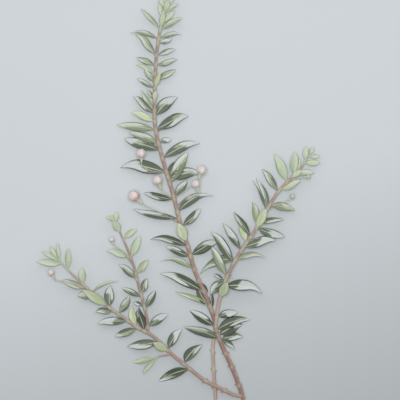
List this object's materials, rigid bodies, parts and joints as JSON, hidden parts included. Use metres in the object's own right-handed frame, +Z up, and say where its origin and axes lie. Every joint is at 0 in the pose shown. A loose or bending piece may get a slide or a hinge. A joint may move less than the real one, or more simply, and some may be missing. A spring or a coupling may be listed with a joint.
{
  "type": "myrtle sprig",
  "caption": "Cut sprig of flowering myrtle lying flat: a woody stem forking into leafy shoots, with pointed leaves in pairs and round flower buds on thin stalks.",
  "frame": {"origin": "centre of the small flat spot under the main stem, just below its fork, on which the sprig rests", "axes": "+Z up from the surface that the sprig lies on, +Y along the main shoot from its cut foot to its tip, +X to the side of the right shoot"},
  "size_m": [0.2123, 0.3072, 0.0244],
  "materials": {
    "bark": "reddish-brown young bark, matt",
    "leaf": "leathery dark green leaf with a waxy gloss",
    "young_leaf": "soft pale green young leaf",
    "calyx": "matt pale green",
    "petal": "soft pale pink petal"
  },
  "bodies": {
    "root": {"woody_foot": "bark", "bare_twig": "bark", "main_shoot": "leaf", "main_shoot_tip": "young_leaf", "right_shoot": "leaf", "right_shoot_tip": "young_leaf", "left_shoot": "leaf", "left_shoot_tip": "young_leaf", "left_side_shoot": "leaf", "left_side_shoot_tip": "young_leaf", "low_twig": "leaf", "bud_1_calyx": "calyx", "bud_1_petals": "petal", "bud_2_calyx": "calyx", "bud_2_petals": "petal", "bud_3_calyx": "calyx", "bud_3_petals": "petal", "bud_4_calyx": "calyx", "bud_4_petals": "petal", "bud_5_calyx": "calyx", "bud_5_petals": "petal", "bud_6_calyx": "calyx", "bud_6_petals": "petal", "bud_7_calyx": "calyx", "bud_7_petals": "petal", "bud_8_calyx": "calyx", "bud_8_petals": "petal", "bud_9_calyx": "calyx", "bud_9_petals": "petal"}
  },
  "joints": []
}
